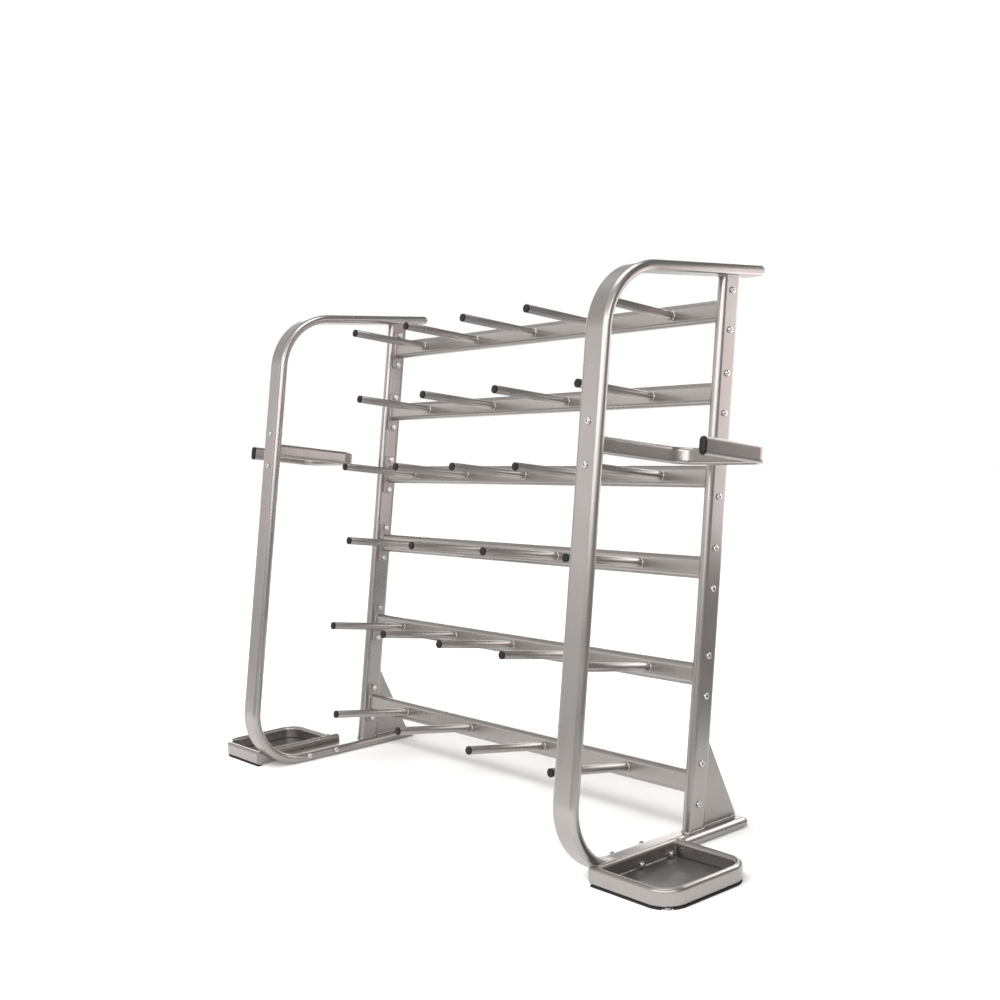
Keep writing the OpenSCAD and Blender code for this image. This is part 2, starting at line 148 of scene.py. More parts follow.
def round_rect(w, h, r, n=6):
    """Outline of a rectangle with rounded corners."""
    pts = []
    for k, (sx, sy) in enumerate(((1, -1), (1, 1), (-1, 1), (-1, -1))):
        a0 = -math.pi / 2 + k * math.pi / 2
        pts += [(sx * (w / 2 - r) + r * math.cos(a0 + math.pi / 2 * i / n),
                 sy * (h / 2 - r) + r * math.sin(a0 + math.pi / 2 * i / n)) for i in range(n + 1)]
    return pts


def put(pts, o, u, v):
    """Places an outline at o, in the plane of u and v."""
    return [o + u * p[0] + v * p[1] for p in pts]


def edge_steps(e):
    """(depth, inset) of the rings that round an edge of radius e."""
    return [(e * (1 - math.sin(a)), e * (1 - math.cos(a))) for a in (math.pi / 2 * i / 3 for i in (3, 2, 1, 0))]


def slab(outline, o, u, v, w, t, e=0.0006):
    """Plate of thickness t along w from o, with rounded edges; outline(inset) gives its points."""
    rings = [put(outline(e * 2.2), o, u, v)]
    for depth, inset in edge_steps(e):
        rings.append(put(outline(inset_of(depth, e)), o + w * depth, u, v))
    for depth, inset in reversed(edge_steps(e)):
        rings.append(put(outline(inset_of(depth, e)), o + w * (t - depth), u, v))
    rings.append(put(outline(e * 2.2), o + w * t, u, v))
    return loft(rings)


def inset_of(depth, e):
    """How far a rounded edge stands in at this depth below the face."""
    x = e - depth
    return e - math.sqrt(max(e * e - x * x, 0.0))


def lathe(profile, o, u, v, w, n=32):
    """Turned shape: profile of (radius, height along w)."""
    rings = []
    for r, h in profile:
        rings.append([o + w * h + (u * math.cos(a) + v * math.sin(a)) * max(r, 1e-6)
                      for a in (2 * math.pi * k / n for k in range(n))])
    return loft(rings)


def path_rings(stations, section):
    """The section's outline at each station (origin, u, v) of a path."""
    return [put(section, o, u, v) for o, u, v in stations]


def nose_rings(o, u, v, along, w, t, n=14, steps=8):
    """Full-round end of a flat-oval tube, from its end plane outwards."""
    rings = []
    for i in range(1, steps + 1):
        a = math.pi / 2 * i / steps
        k = max(math.cos(a), 0.004)
        rings.append(put(oval(w, t, n, k=k), o + along * (t / 2 * math.sin(a)), u, v))
    return rings


def bead(points, r, closed=False, flatten=None, pitch=0.0026, n=10):
    """Weld bead of radius r along a line of points, with the ripple of its passes.

    flatten is a direction square to the line all along it, which steadies the bead's rings.
    """
    pts = [Vector(p) for p in points]
    dense, step = [], pitch / 4
    count = len(pts) if closed else len(pts) - 1
    for i in range(count):
        a, b = pts[i], pts[(i + 1) % len(pts)]
        m = max(1, int(round((b - a).length / step)))
        dense += [a.lerp(b, k / m) for k in range(m)]
    if not closed:
        dense.append(pts[-1])
    rings, total = [], len(dense)
    phase = random.random() * 6.28
    for i, p in enumerate(dense):
        q0 = dense[(i - 1) % total] if closed else dense[max(i - 1, 0)]
        q1 = dense[(i + 1) % total] if closed else dense[min(i + 1, total - 1)]
        t = (q1 - q0).normalized()
        ref = flatten if flatten is not None else (Z if abs(t.z) < 0.9 else X)
        a = t.cross(ref)
        if a.length < 1e-4:
            a = t.orthogonal()
        a.normalize()
        b = t.cross(a).normalized()
        ripple = 0.5 + 0.5 * math.cos(2 * math.pi * i / 4.0)
        wobble = math.sin(i * 0.131 + phase) * 0.10 + math.sin(i * 0.047 + 2 * phase) * 0.08
        rr = r * (0.90 + 0.12 * ripple + wobble)
        if not closed:
            end = min(i, total - 1 - i)
            rr *= min(1.0, 0.35 + 0.22 * end)
        rings.append([p + (a * math.cos(2 * math.pi * k / n) + b * math.sin(2 * math.pi * k / n)) * rr
                      for k in range(n)])
    return loft(rings, closed=closed)


# ---------------------------------------------------------------- materials

def nodes_of(mat):
    mat.use_nodes = True
    nt = mat.node_tree
    nt.nodes.clear()
    out = nt.nodes.new("ShaderNodeOutputMaterial")
    bsdf = nt.nodes.new("ShaderNodeBsdfPrincipled")
    nt.links.new(bsdf.outputs[0], out.inputs[0])
    return nt, bsdf


def noise(nt, coord, scale, detail=2.0, rough=0.5):
    n = nt.nodes.new("ShaderNodeTexNoise")
    n.inputs["Scale"].default_value = scale
    n.inputs["Detail"].default_value = detail
    n.inputs["Roughness"].default_value = rough
    nt.links.new(coord, n.inputs["Vector"])
    return n.outputs["Fac"]


def ramp(nt, fac, stops):
    r = nt.nodes.new("ShaderNodeValToRGB")
    r.color_ramp.elements[0].position, r.color_ramp.elements[0].color = stops[0][0], (*stops[0][1], 1)
    r.color_ramp.elements[1].position, r.color_ramp.elements[1].color = stops[-1][0], (*stops[-1][1], 1)
    for p, c in stops[1:-1]:
        e = r.color_ramp.elements.new(p)
        e.color = (*c, 1)
    nt.links.new(fac, r.inputs[0])
    return r.outputs[0]


def map_range(nt, fac, a, b, lo=0.3, hi=0.7):
    m = nt.nodes.new("ShaderNodeMapRange")
    m.inputs["From Min"].default_value = lo
    m.inputs["From Max"].default_value = hi
    m.inputs["To Min"].default_value = a
    m.inputs["To Max"].default_value = b
    nt.links.new(fac, m.inputs["Value"])
    return m.outputs["Result"]


def bump(nt, bsdf, height, strength, distance):
    b = nt.nodes.new("ShaderNodeBump")
    b.inputs["Strength"].default_value = strength
    b.inputs["Distance"].default_value = distance
    nt.links.new(height, b.inputs["Height"])
    nt.links.new(b.outputs["Normal"], bsdf.inputs["Normal"])


FLAKE_SCALE, FLAKE_DARK, FLAKE_LIGHT = 1500.0, 0.95, 1.07
GLOSS_SCALE, PEEL_SCALE, PEEL_STRENGTH, PEEL_DEPTH = 9.0, 160.0, 0.06, 0.0004


def paint(name, base, rough=0.28, metallic=0.94, coat=0.15):
    """Metallic powder coat: fine flake, faint orange peel and slow changes of gloss."""
    mat = bpy.data.materials.new(name)
    nt, b = nodes_of(mat)
    co = nt.nodes.new("ShaderNodeTexCoord").outputs["Object"]
    flake = nt.nodes.new("ShaderNodeTexVoronoi")
    flake.inputs["Scale"].default_value = FLAKE_SCALE
    nt.links.new(co, flake.inputs["Vector"])
    sep = nt.nodes.new("ShaderNodeSeparateColor")
    nt.links.new(flake.outputs["Color"], sep.inputs[0])
    dark = tuple(c * FLAKE_DARK for c in base)
    light = tuple(min(c * FLAKE_LIGHT, 1.0) for c in base)
    nt.links.new(ramp(nt, sep.outputs[0], ((0.0, dark), (0.75, base), (1.0, light))), b.inputs["Base Color"])
    b.inputs["Metallic"].default_value = metallic
    nt.links.new(map_range(nt, noise(nt, co, GLOSS_SCALE, 3.0), rough - 0.03, rough + 0.04), b.inputs["Roughness"])
    b.inputs["Coat Weight"].default_value = coat
    b.inputs["Coat Roughness"].default_value = 0.12
    bump(nt, b, noise(nt, co, PEEL_SCALE, 1.0), PEEL_STRENGTH, PEEL_DEPTH)
    mat.diffuse_color = (*base, 1)
    return mat


def zinc(name):
    """Bright zinc plate with a fine spangle."""
    mat = bpy.data.materials.new(name)
    nt, b = nodes_of(mat)
    co = nt.nodes.new("ShaderNodeTexCoord").outputs["Object"]
    nt.links.new(ramp(nt, noise(nt, co, 420.0, 3.0), ((0.3, (0.50, 0.49, 0.48)), (0.7, (0.66, 0.65, 0.64)))),
                 b.inputs["Base Color"])
    b.inputs["Metallic"].default_value = 1.0
    nt.links.new(map_range(nt, noise(nt, co, 900.0, 2.0), 0.16, 0.30), b.inputs["Roughness"])
    bump(nt, b, noise(nt, co, 1200.0, 2.0), 0.08, 0.0002)
    return mat


def plastic(name, base, rough, grain, depth, shine=0.4):
    """Moulded black plastic or rubber; grain and depth set its texture."""
    mat = bpy.data.materials.new(name)
    nt, b = nodes_of(mat)
    co = nt.nodes.new("ShaderNodeTexCoord").outputs["Object"]
    light = tuple(c * 1.5 for c in base)
    nt.links.new(ramp(nt, noise(nt, co, 160.0, 3.0), ((0.3, base), (0.75, light))), b.inputs["Base Color"])
    nt.links.new(map_range(nt, noise(nt, co, 300.0, 2.0), rough - 0.05, rough + 0.08), b.inputs["Roughness"])
    b.inputs["Specular IOR Level"].default_value = shine
    bump(nt, b, noise(nt, co, grain, 3.0), depth, 0.0004)
    return mat


M = {
    "silver_paint": paint("silver_powder_coat", (0.329, 0.306, 0.295)),
    "plate_paint": paint("silver_powder_coat_plates", (0.330, 0.307, 0.296), rough=0.34),
    # welds: the same powder coat with a lighter base colour, a painted highlight on the beads; the glossier coat is
    # real
    "weld_highlight_paint": paint("silver_powder_coat_welds_painted_highlight", (0.43, 0.405, 0.39), rough=0.22, coat=0.4),
    # tray floor: the same powder coat darkened, painted shade of the tray's hollow
    "tray_floor_paint": paint("silver_powder_coat_tray_floor_painted_shade", (0.19, 0.187, 0.178), rough=0.30),
    "zinc_steel": zinc("bright_zinc"),
    "black_plastic": plastic("black_plastic_plugs", (0.007, 0.007, 0.007), 0.36, 700.0, 0.10, shine=0.22),
    "rubber": plastic("black_rubber_strip", (0.010, 0.010, 0.010), 0.72, 420.0, 0.35),
}
FLOOR_TONE = 0.83


def piece(name, shape, mat, nodes=(), sharp=33.0):
    mesh = bpy.data.meshes.new(name)
    mesh.from_pydata([tuple(p) for p in shape.v], [], shape.f)
    mesh.validate()
    mesh.polygons.foreach_set("use_smooth", [True] * len(mesh.polygons))
    mesh.set_sharp_from_angle(angle=math.radians(sharp))
    mesh.materials.append(M[mat])
    ob = bpy.data.objects.new(name, mesh)
    bpy.context.scene.collection.objects.link(ob)
    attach(ob, "root")
    if nodes:
        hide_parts(*nodes)
    return ob


def pair(name, shape, mat, node=None, sharp=33.0):
    """The right-hand piece and its mirror image on the left."""
    for side, s in (("right", shape), ("left", shape.mirrored())):
        piece(side + "_" + name, s, mat, (side + "_" + node,) if node else (), sharp)


# ---------------------------------------------------------------- side frames

BOTTOM_C = Vector((FRAME_X, FRONT_Y + BOTTOM_R + TUBE_T / 2, TUBE_T / 2 + BOTTOM_R))


def top_centre():
    """Centre of the top bend: square to the front straight from its upper end."""
    z = RACK_H - TUBE_T / 2 - TOP_R
    length = (z - BOTTOM_C.z - (BOTTOM_R - TOP_R) * SIN) / COS
    start = BOTTOM_C + FWD * BOTTOM_R
    return start + ALONG * length - FWD * TOP_R


TOP_C = top_centre()


def side_stations():
    """The C path: (origin, width axis, thickness axis) from the bottom rear end to the top rear end."""
    out = []
    y_end = caps_bottom_y() - TUBE_T / 2
    out.append((Vector((FRAME_X, y_end, TUBE_T / 2)), X, Z))
    steps = 56
    turn = math.pi / 2 + LEAN
    for i in range(steps + 1):
        a = turn * i / steps            # from straight down, towards the front and up
        r = Vector((0, -math.sin(a), -math.cos(a)))
        out.append((BOTTOM_C + r * BOTTOM_R, X, -r))
    turn = math.pi / 2 - LEAN
    for i in range(steps + 1):
        a = turn * i / steps
        r = FWD * math.cos(a) + ALONG * math.sin(a)
        out.append((TOP_C + r * TOP_R, X, -r))
    out.append((Vector((FRAME_X, REAR_Y - TUBE_T / 2, RACK_H - TUBE_T / 2)), X, -Z))
    return out


def caps_bottom_y():
    """Rear end of the bottom run, from the end caps' mesh."""
    co = [v.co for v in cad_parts["right_frame_end_caps"].data.vertices if v.co.z < 0.2]
    return max(c.y for c in co)


tube = oval(SIDE_W, TUBE_T)
pair("side_frame_tube", loft(path_rings(side_stations(), tube)), "silver_paint", "side_frame")

caps = Shape()
for o, u, v, along in ((Vector((FRAME_X, caps_bottom_y() - TUBE_T / 2, TUBE_T / 2)), X, Z, Y),
                       (Vector((FRAME_X, REAR_Y - TUBE_T / 2, RACK_H - TUBE_T / 2)), X, -Z, Y)):
    rings = [put(tube, o, u, v)] + nose_rings(o, u, v, along, SIDE_W, TUBE_T)
    caps.add(loft(rings))
pair("frame_end_cap_pair", caps, "silver_paint", "frame_end_caps")

# ---------------------------------------------------------------- rear uprights and gussets


def upright_ring(z, grow=0.0):
    """The rear upright's outline where the level plane z cuts it."""
    ring = []
    for a, b in oval(UPRIGHT_W + 2 * grow, TUBE_T + 2 * grow):
        p = lean_pt(FRAME_X + b, a, 0.0)
        ring.append(p + ALONG * ((z - p.z) / ALONG.z))
    return ring


pair("rear_upright_tube", loft([upright_ring(TUBE_T), upright_ring(RACK_H - TUBE_T)]),
     "silver_paint", "rear_upright")

G_LOW_Y = gusset_lo.y
G_HIGH_Y = Y0 + (gusset_hi.z - ROW_H) * math.tan(LEAN) + UPRIGHT_W / 2 / COS


def gusset_outline(inset):
    toe = 0.006      # height of the plate's upright rear edge
    return [(G_LOW_Y + inset, gusset_lo.z + inset), (gusset_hi.y - inset, gusset_lo.z + inset),
            (gusset_hi.y - inset, gusset_lo.z + toe - inset * 0.3),
            (G_HIGH_Y + inset * 0.6, gusset_hi.z - inset * 3)]


G_T = gusset_hi.x - gusset_lo.x
pair("gusset_plate", slab(gusset_outline, Vector((gusset_lo.x, 0, 0)), Y, Z, X, G_T, 0.0007), "plate_paint", "gusset")

# ---------------------------------------------------------------- crossbars, end plates and pegs


def holed_plate(o, u, v, w):
    return slab(lambda i: round_rect(PLATE_W - 2 * i, PLATE_H - 2 * i, PLATE_R - i), o, u, v, w, PLATE_T, 0.0008)


bar_section = oval(BAR_H, TUBE_T)
for row, up in enumerate(ROW_UP, 1):
    ends = [put(bar_section, lean_pt(sx * BAR_HALF, 0, up), ALONG, FWD) for sx in (-1, 1)]
    piece(f"crossbar_{row}_tube", loft(list(reversed(ends))), "silver_paint", (f"crossbar_{row}",))

plates = Shape()
for up in ROW_UP:
    plates.add(holed_plate(lean_pt(BAR_HALF, 0, up), -FWD, ALONG, X))
pair("end_plate_set", plates, "plate_paint", "end_plates")


def peg_shape(base):
    r, h = PEG_R, PEG_L - PLUG_HEAD
    return lathe([(r, 0), (r, 0.0010), (r, h - 0.0006), (r - 0.0002, h - 0.0002), (r - 0.0008, h)],
                 base, X, ALONG, FWD, 40)


def plug_shape(base):
    r, h = PEG_R, PLUG_HEAD
    prof = [(r - 0.0006, 0), (r - 0.0001, 0.0003), (r, 0.0008)]
    e = 0.0022
    prof += [(r - e + e * math.cos(a), h - e + e * math.sin(a)) for a in (math.pi / 2 * i / 6 for i in range(7))]
    prof += [(r - e - 0.0008, h), (r * 0.5, h + 0.0001), (0.0001, h + 0.00015)]
    return lathe(prof, base + FWD * (PEG_L - PLUG_HEAD), X, ALONG, FWD, 40)


for row, (up, count) in enumerate(zip(ROW_UP, ROW_PEGS), 1):
    pegs, plugs, rings = Shape(), Shape(), Shape()
    for i in range(count):
        base = lean_pt((i - (count - 1) / 2) * PITCH[count], TUBE_T / 2, up)
        pegs.add(peg_shape(base))
        plugs.add(plug_shape(base))
        loop = [base + FWD * 0.0006 + (X * math.cos(a) + ALONG * math.sin(a)) * (PEG_R + 0.0006)
                for a in (2 * math.pi * k / 40 for k in range(40))]
        rings.add(bead(loop, WELD_PEG, closed=True, flatten=FWD))
    piece(f"peg_set_{row}", pegs, "silver_paint", (f"pegs_{row}",))
    piece(f"peg_plug_set_{row}", plugs, "black_plastic", (f"peg_plugs_{row}",))
    piece(f"peg_welds_{row}", rings, "weld_highlight_paint", sharp=60)

# ---------------------------------------------------------------- bolts and nuts


def hexagon(af, angle):
    """Distance to the side of a hexagon af across its flats, at an angle."""
    a = (angle + math.pi / 6) % (math.pi / 3) - math.pi / 6
    return af / 2 / math.cos(a)


def bolt_shape(o, axis, grip):
    """Domed bolt with a hexagon socket: its head stands on o, away from axis, and its shank runs along axis."""
    u = axis.orthogonal().normalized()
    v = axis.cross(u).normalized()
    w = -axis
    n = 48
    ang = [2 * math.pi * k / n for k in range(n)]
    rings = []

    def ring(radius, h):
        rings.append([o + w * h + (u * math.cos(a) + v * math.sin(a)) * (radius(a) if callable(radius) else radius)
                      for a in ang])
    ring(HEAD_R - 0.0003, 0.0)
    ring(HEAD_R, 0.0003)
    ring(HEAD_R, 0.0009)
    top_r = 0.0046
    for i in range(1, 9):
        a = math.pi / 2 * i / 8
        ring(top_r + (HEAD_R - top_r) * math.cos(a), 0.0009 + (HEAD_H - 0.0009) * math.sin(a))
    ring(lambda a: hexagon(0.0066, a), HEAD_H)
    ring(lambda a: hexagon(0.0060, a), HEAD_H - 0.0004)
    ring(lambda a: hexagon(0.0058, a), HEAD_H - 0.0046)
    ring(0.0010, HEAD_H - 0.0052)
    s = loft(rings)
    s.add(lathe([(BOLT_R, 0.0002), (BOLT_R, grip - 0.0010), (BOLT_R - 0.0010, grip)], o, u, v, axis, 24))
    return s


def nut_shape(o, axis, turn=0.0):
    """Chamfered hexagon nut standing on o along axis."""
    u = axis.orthogonal().normalized()
    v = axis.cross(u).normalized()
    n = 72
    rings = []
    zone = 0.0014
    heights = [0.0, zone * 0.33, zone * 0.66, zone, NUT_H - zone, NUT_H - zone * 0.66, NUT_H - zone * 0.33, NUT_H]
    for h in heights:
        near = min(h, NUT_H - h)
        cone = NUT_AF / 2 * 0.97 + near * 1.15
        rings.append([o + axis * h + (u * math.cos(a) + v * math.sin(a)) * min(hexagon(NUT_AF, a + turn), cone)
                      for a in (2 * math.pi * k / n for k in range(n))])
    return loft(rings)


bolts, nuts = Shape(), Shape()
for up in ROW_UP:
    for s in (-1, 1):
        p = lean_pt(FRAME_X + TUBE_T / 2, 0, up + s * BOLT_GAP / 2)
        bolts.add(bolt_shape(p, -X, TUBE_T + PLATE_T + NUT_H + PROUD))
        q = lean_pt(BAR_HALF, 0, up + s * BOLT_GAP / 2)
        nuts.add(nut_shape(q, -X, random.random()))
pair("upright_bolt_set", bolts, "zinc_steel", "upright_bolts")
pair("upright_nut_set", nuts, "zinc_steel", "upright_nuts", 25)

bolts, nuts = Shape(), Shape()
for s in (-1, 1):
    p = lean_pt(FRAME_X, GAP + TUBE_T / 2, HOLDER_UP + s * BOLT_GAP / 2)
    bolts.add(bolt_shape(p, -FWD, TUBE_T + PLATE_T + NUT_H + PROUD))
    q = lean_pt(FRAME_X, GAP - TUBE_T / 2 - PLATE_T, HOLDER_UP + s * BOLT_GAP / 2)
    nuts.add(nut_shape(q, -FWD, random.random()))
pair("holder_bolt_set", bolts, "zinc_steel", "holder_bolts")
pair("holder_nut_set", nuts, "zinc_steel", "holder_nuts", 25)

tb_lo, tb_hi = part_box("right_tray_bolts")
tn_lo, tn_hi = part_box("right_tray_nuts")
TRAY_BOLT_Z = (tn_lo.z + tn_hi.z) / 2
TRAY_BOLT_Y = (tb_lo.y + HEAD_R, tb_hi.y - HEAD_R)
bolts, nuts = Shape(), Shape()
for y in TRAY_BOLT_Y:
    bolts.add(bolt_shape(Vector((FRAME_X - SIDE_W / 2, y, TRAY_BOLT_Z)), X, SIDE_W + RIM_T + NUT_H + PROUD))
    nuts.add(nut_shape(Vector((SIDE_X + RIM_T, y, TRAY_BOLT_Z)), X, 0.0))
pair("tray_bolt_set", bolts, "zinc_steel", "tray_bolts")
pair("tray_nut_set", nuts, "zinc_steel", "tray_nuts", 25)

# ---------------------------------------------------------------- bar holders

rim_section = oval(RIM_H, RIM_T, 12)


def holder_stations():
    """The U path: from the plate behind the upright, round the rear, to the open end of the outer arm."""
    out = []
    d_open = HOLDER_REAR + HOLDER_ARM
    d_bend = HOLDER_REAR + HOLDER_R
    x0, x1 = FRAME_X, FRAME_X + HOLDER_W
    d0 = GAP - TUBE_T / 2 - PLATE_T
    out.append((lean_pt(x0, d0, HOLDER_UP), ALONG, -X))
    steps = 28
    for i in range(steps + 1):
        a = math.pi / 2 * i / steps
        r = -X * math.cos(a) - FWD * math.sin(a)
        out.append((lean_pt(x0 + HOLDER_R, d_bend, HOLDER_UP) + r * HOLDER_R, ALONG, r))
    for i in range(steps + 1):
        a = math.pi / 2 * i / steps
        r = -FWD * math.cos(a) + X * math.sin(a)
        out.append((lean_pt(x1 - HOLDER_R, d_bend, HOLDER_UP) + r * HOLDER_R, ALONG, r))
    out.append((lean_pt(x1, d_open, HOLDER_UP), ALONG, X))
    return out


pair("bar_holder_tube", loft(path_rings(holder_stations(), rim_section)), "silver_paint", "bar_holder")
pair("holder_mount_plate", holed_plate(lean_pt(FRAME_X, GAP - TUBE_T / 2, HOLDER_UP), -X, ALONG, -FWD),
     "plate_paint", "holder_plate")


def oval_plug(o, u, v, w, h):
    """Rounded black end plug of the flat-oval tube."""
    foot, brim, dome = 0.94, 1.03, 0.62      # sizes against the tube, and how far the dome draws in
    wall = 0.0016
    rings = [put(oval(RIM_H, RIM_T, k=foot), o, u, v), put(oval(RIM_H, RIM_T, k=brim), o + w * 0.0006, u, v)]
    for i in range(0, 9):
        a = math.pi / 2 * i / 8
        k = brim * (1 - dome * (1 - math.cos(a)))
        rings.append(put(oval(RIM_H, RIM_T, k=k), o + w * (wall + (h - wall) * math.sin(a)), u, v))
    rings.append(put(oval(RIM_H, RIM_T, k=0.2), o + w * (h + 0.0003), u, v))
    return loft(rings)


pair("holder_end_plug", oval_plug(lean_pt(FRAME_X + HOLDER_W, HOLDER_REAR + HOLDER_ARM, HOLDER_UP),
                                  ALONG, X, FWD, HOLDER_PLUG), "black_plastic", "holder_plug", 40)

# ---------------------------------------------------------------- trays

CORNER_R = 0.065
OUT_X = tray_hi.x
TF, TR = tray_lo.y, tray_hi.y


def rim_stations():
    """The tray rim's path: from the side frame along the front, outer and rear walls."""
    r = CORNER_R - RIM_T / 2
    out = [(Vector((SIDE_X, TF + RIM_T / 2, RIM_Z)), Z, -Y)]
    steps = 28
    for i in range(steps + 1):
        a = math.pi / 2 * i / steps
        d = -Y * math.cos(a) + X * math.sin(a)
        out.append((Vector((OUT_X - CORNER_R, TF + CORNER_R, RIM_Z)) + d * r, Z, d))
    for i in range(steps + 1):
        a = math.pi / 2 * i / steps
        d = X * math.cos(a) + Y * math.sin(a)
        out.append((Vector((OUT_X - CORNER_R, TR - CORNER_R, RIM_Z)) + d * r, Z, d))
    out.append((Vector((SIDE_X + RIM_T, TR - RIM_T / 2, RIM_Z)), Z, Y))
    return out


pair("tray_rim_tube", loft(path_rings(rim_stations(), rim_section)), "silver_paint", "tray_rim")
rail_c = Vector((SIDE_X + RIM_T / 2, 0, RIM_Z))
pair("tray_rail_tube", loft([put(rim_section, rail_c + Y * rail_lo.y, Z, X),
                             put(rim_section, rail_c + Y * rail_hi.y, Z, X)]), "silver_paint", "tray_rail")
rail_end = rail_c + Y * rail_hi.y
pair("rail_end_cap", loft([put(rim_section, rail_end, Z, X)] + nose_rings(rail_end, Z, X, Y, RIM_H, RIM_T, 12)),
     "silver_paint", "rail_cap")


def floor_outline(inset):
    r = CORNER_R - RIM_T - inset
    x0, x1, y0, y1 = floor_lo.x + inset, floor_hi.x - inset, floor_lo.y + inset, floor_hi.y - inset
    pts = [(x0, y0)]
    pts += [(x1 - r + r * math.sin(a), y0 + r - r * math.cos(a)) for a in (math.pi / 2 * i / 10 for i in range(11))]
    pts += [(x1 - r + r * math.cos(a), y1 - r + r * math.sin(a)) for a in (math.pi / 2 * i / 10 for i in range(11))]
    pts += [(x0, y1)]
    return pts


# its darker paint is painted shade inside the tray
pair("tray_floor_plate", slab(floor_outline, Vector((0, 0, floor_lo.z)), X, Y, Z, floor_hi.z - floor_lo.z, 0.0005),
     "tray_floor_paint", "tray_floor")

# two rubber strips that follow the rim, with a gap between them at the glide
STRIP_R = CORNER_R - RIM_T / 2
STRIP_T = RUBBER_T + 0.0004           # a little into the rim's underside
GLIDE_GAP = math.radians(12.8)        # half the gap, seen from the corner's centre
strip_section = round_rect(STRIP_T, STRIP_W, 0.0012, 4)


def strip_corner(y, a0, a1, steps=20):
    """Stations round a tray corner; angle 0 faces the front, a quarter turn faces outwards."""
    out = []
    for i in range(steps + 1):
        a = a0 + (a1 - a0) * i / steps
        d = X * math.sin(a) - Y * math.cos(a)
        out.append((Vector((OUT_X - CORNER_R, y, STRIP_T / 2)) + d * STRIP_R, Z, d))
    return out


quarter = math.pi / 2
front_run = [(Vector((SIDE_X + (RIM_T - STRIP_W) / 2, TF + RIM_T / 2, STRIP_T / 2)), Z, -Y)]
front_run += strip_corner(TF + CORNER_R, 0.0, quarter / 2 - GLIDE_GAP)
side_run = strip_corner(TF + CORNER_R, quarter / 2 + GLIDE_GAP, quarter)
side_run += strip_corner(TR - CORNER_R, quarter, 2 * quarter)
side_run.append((Vector((SIDE_X + RIM_T, TR - RIM_T / 2, STRIP_T / 2)), Z, Y))
rub = Shape()
rub.add(loft(path_rings(front_run, strip_section)))
rub.add(loft(path_rings(side_run, strip_section)))
pair("tray_rubber_set", rub, "rubber", "tray_rubber", 50)

gl_lo, gl_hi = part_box("right_tray_glide")
gc = (gl_lo + gl_hi) / 2
gr = (gl_hi.x - gl_lo.x) / 2
pair("tray_corner_glide", lathe([(gr - 0.001, 0), (gr, 0.0008), (gr, 0.0022), (gr - 0.0008, 0.003), (0.0085, 0.0033),
                                 (0.008, RUBBER_T + 0.0005)], Vector((gc.x, gc.y, 0)), X, Y, Z, 36),
     "zinc_steel", "tray_glide")

# ---------------------------------------------------------------- welds

welds = Shape()
welds.add(bead(upright_ring(TUBE_T + 0.0006, 0.0004), WELD_FOOT, closed=True))
welds.add(bead(upright_ring(RACK_H - TUBE_T - 0.0006, 0.0004), WELD_HEAD, closed=True))
pair("upright_welds", welds, "weld_highlight_paint", sharp=60)

welds = Shape()
for sx in (-1, 1):
    x = FRAME_X + sx * (G_T / 2 + 0.0005)
    welds.add(bead([(x, G_LOW_Y + 0.004, TUBE_T + 0.0006), (x, gusset_hi.y - 0.001, TUBE_T + 0.0006)], WELD_GUSSET))
    a = Vector((x, G_LOW_Y, TUBE_T))
    b = Vector((x, G_HIGH_Y, gusset_hi.z))
    welds.add(bead([a.lerp(b, 0.03), a.lerp(b, 0.985)], WELD_TUBE))
pair("gusset_welds", welds, "weld_highlight_paint", sharp=60)

welds = Shape()
for up in ROW_UP:
    c = lean_pt(BAR_HALF - 0.0006, 0, up)
    loop = put(oval(BAR_H + 0.0008, TUBE_T + 0.0008, 10, 0.004), c, ALONG, FWD)
    welds.add(bead(loop, WELD_TUBE, closed=True, flatten=X))
pair("crossbar_welds", welds, "weld_highlight_paint", sharp=60)

c = lean_pt(FRAME_X, GAP - TUBE_T / 2 - PLATE_T - 0.0006, HOLDER_UP)
loop = put(oval(RIM_H + 0.0008, RIM_T + 0.0008, 10, 0.004), c, ALONG, X)
pair("holder_weld", bead(loop, WELD_TUBE, closed=True, flatten=FWD), "weld_highlight_paint", sharp=60)

welds = Shape()
# rim's rear leg on the rail, rim's front leg on the rail's front end, floor plate on the rail
leg_end = Vector((SIDE_X + RIM_T + 0.0004, TR - RIM_T / 2, RIM_Z))
loop = put(oval(RIM_H + 0.0006, RIM_T + 0.0006, 10, 0.004), leg_end, Z, Y)
welds.add(bead(loop, WELD_RIM, closed=True, flatten=X))
rim_top = RIM_Z + RIM_H / 2 - 0.001
welds.add(bead([(SIDE_X + 0.002, rail_lo.y, rim_top), (SIDE_X + RIM_T - 0.002, rail_lo.y, rim_top)], WELD_RIM))
rail_face, plate_top = SIDE_X + RIM_T + 0.0002, floor_hi.z + 0.0003
welds.add(bead([(rail_face, rail_lo.y + 0.006, plate_top), (rail_face, TR - RIM_T - 0.003, plate_top)], WELD_FLOOR))
pair("tray_welds", welds, "weld_highlight_paint", sharp=60)

# ---------------------------------------------------------------- stage: floor, light and camera

# the floor sheet ends 1.6 m in front of the rack, and 1.15 m to its right or, further back, 0.15 m
FLOOR_OUTLINE = ((-14, -2.0), (2.2, -2.0), (2.2, -0.4), (1.2, 1.3), (1.2, 14), (-14, 14))
floor_mesh = bpy.data.meshes.new("studio_floor")
floor_mesh.from_pydata([(x, y, 0) for x, y in FLOOR_OUTLINE], [], [tuple(range(len(FLOOR_OUTLINE)))])
studio = bpy.data.objects.new("studio_floor", floor_mesh)
bpy.context.scene.collection.objects.link(studio)
fm = bpy.data.materials.new("studio_floor")
nt, b = nodes_of(fm)
b.inputs["Base Color"].default_value = (FLOOR_TONE, FLOOR_TONE, FLOOR_TONE, 1)
b.inputs["Roughness"].default_value = 0.8
b.inputs["Specular IOR Level"].default_value = 0.1
